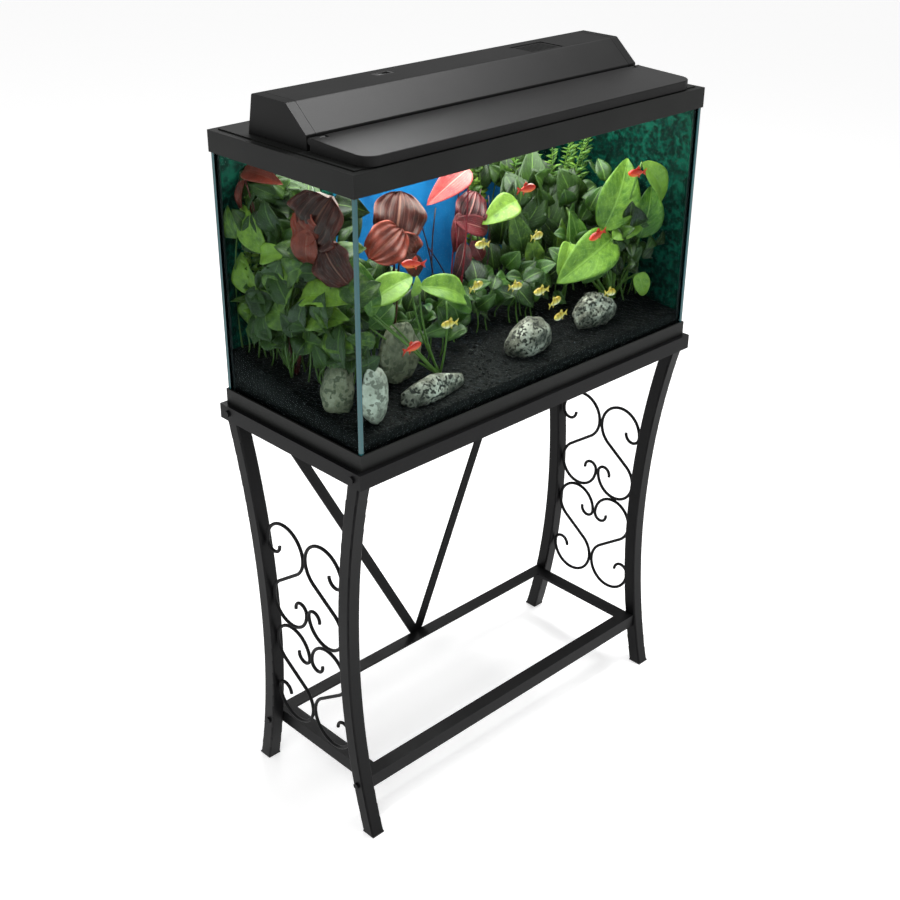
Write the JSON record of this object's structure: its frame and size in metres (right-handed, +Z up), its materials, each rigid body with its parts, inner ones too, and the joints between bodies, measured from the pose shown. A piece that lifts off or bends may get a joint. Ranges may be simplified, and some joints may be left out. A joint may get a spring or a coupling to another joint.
{
  "type": "aquarium on stand",
  "caption": "Glass aquarium with a lighted hood and hinged lid, on an open black steel stand with bowed legs and scroll-work ends; planted, with gravel, stones and fish.",
  "frame": {"origin": "on the floor under the middle of the stand", "axes": "+X right along the tank, +Y to the back (the brace's side), +Z up"},
  "size_m": [0.7926, 0.3493, 1.224],
  "materials": {
    "stand_paint": "satin black paint",
    "bolt_black": "satin",
    "foot_plastic": "matte",
    "pane_glass": "polished",
    "silicone": "satin",
    "frame_plastic": "satin",
    "printed_sheet": "gloss print",
    "black_gravel": "glazed grains",
    "slab_stone": "rough",
    "pale_stone": "rough",
    "speckled_stone": "rough",
    "red_leaf": "satin",
    "pink_leaf": "satin",
    "green_leaf": "satin",
    "light_green_leaf": "satin",
    "red_fish_skin": "gloss",
    "striped_fish_skin": "gloss",
    "hood_plastic": "fine texture",
    "hinge_steel": "plain",
    "guard_glass": "polished",
    "lamp_glass": "coated glass",
    "socket_plastic": "matte",
    "reflector_sheet": "bright rolled",
    "ballast_case": "satin",
    "switch_plastic": "gloss",
    "gland_rubber": "matte"
  },
  "bodies": {
    "stand": {"leg_front_left": "stand_paint", "leg_front_right": "stand_paint", "leg_back_left": "stand_paint", "leg_back_right": "stand_paint", "top_rail_front": "stand_paint", "top_rail_back": "stand_paint", "top_rail_left": "stand_paint", "top_rail_right": "stand_paint", "lower_rail_front": "stand_paint", "lower_rail_back": "stand_paint", "lower_rail_left": "stand_paint", "lower_rail_right": "stand_paint", "back_brace_left": "stand_paint", "back_brace_right": "stand_paint", "scroll_panel_left": "stand_paint", "scroll_panel_right": "stand_paint", "top_frame_bolts": "bolt_black", "lower_frame_bolts": "bolt_black", "foot_plugs": "foot_plastic"},
    "tank": {"glass_bottom": "pane_glass", "glass_front": "pane_glass", "glass_back": "pane_glass", "glass_left": "pane_glass", "glass_right": "pane_glass", "silicone_seams": "silicone", "bottom_frame": "frame_plastic", "top_rim": "frame_plastic", "background_sheet": "printed_sheet", "gravel_bed": "black_gravel", "standing_slab": "slab_stone", "front_left_stone": "pale_stone", "low_stone": "speckled_stone", "round_stone": "speckled_stone", "right_stone": "speckled_stone", "side_stone": "slab_stone", "red_lotus_front": "red_leaf", "red_lotus_left": "red_leaf", "red_lotus_back": "pink_leaf", "broad_leaves_left": "green_leaf", "low_leaves_front": "light_green_leaf", "dark_leaves_middle": "green_leaf", "feather_plant": "light_green_leaf", "broad_leaves_right": "green_leaf", "bushy_plant_right": "green_leaf", "red_fish": "red_fish_skin", "barbs": "striped_fish_skin"},
    "hood": {"hood_base": "hood_plastic", "hinge_rod": "hinge_steel", "splash_guard": "guard_glass"},
    "light_unit": {"light_cover": "hood_plastic", "cover_end_left": "hood_plastic", "cover_end_right": "hood_plastic", "lamp_tube": "lamp_glass", "lamp_sockets": "socket_plastic", "reflector": "reflector_sheet", "ballast": "ballast_case", "switch_frame": "switch_plastic", "cord_gland": "gland_rubber"},
    "lid": {"front_lid": "hood_plastic"},
    "rocker": {"rocker_switch": "switch_plastic"}
  },
  "joints": [
    {"name": "tank_lift", "type": "slide", "parent": "stand", "child": "tank", "axis": [0, 0, 1], "range_m": [0, 0.3]},
    {"name": "hood_lift", "type": "slide", "parent": "tank", "child": "hood", "axis": [0, 0, 1], "range_m": [0, 0.15]},
    {"name": "light_lift", "type": "slide", "parent": "hood", "child": "light_unit", "axis": [0, 0, 1], "range_m": [0, 0.1]},
    {"name": "lid_hinge", "type": "hinge", "parent": "hood", "child": "lid", "pos_m": [0, -0.043, 1.179], "axis": [-1, 0, 0], "range_deg": [0, 90]},
    {"name": "switch_tilt", "type": "hinge", "parent": "light_unit", "child": "rocker", "pos_m": [-0.132, 0.059, 1.2198], "axis": [0, -1, 0], "range_deg": [0, 14]}
  ]
}
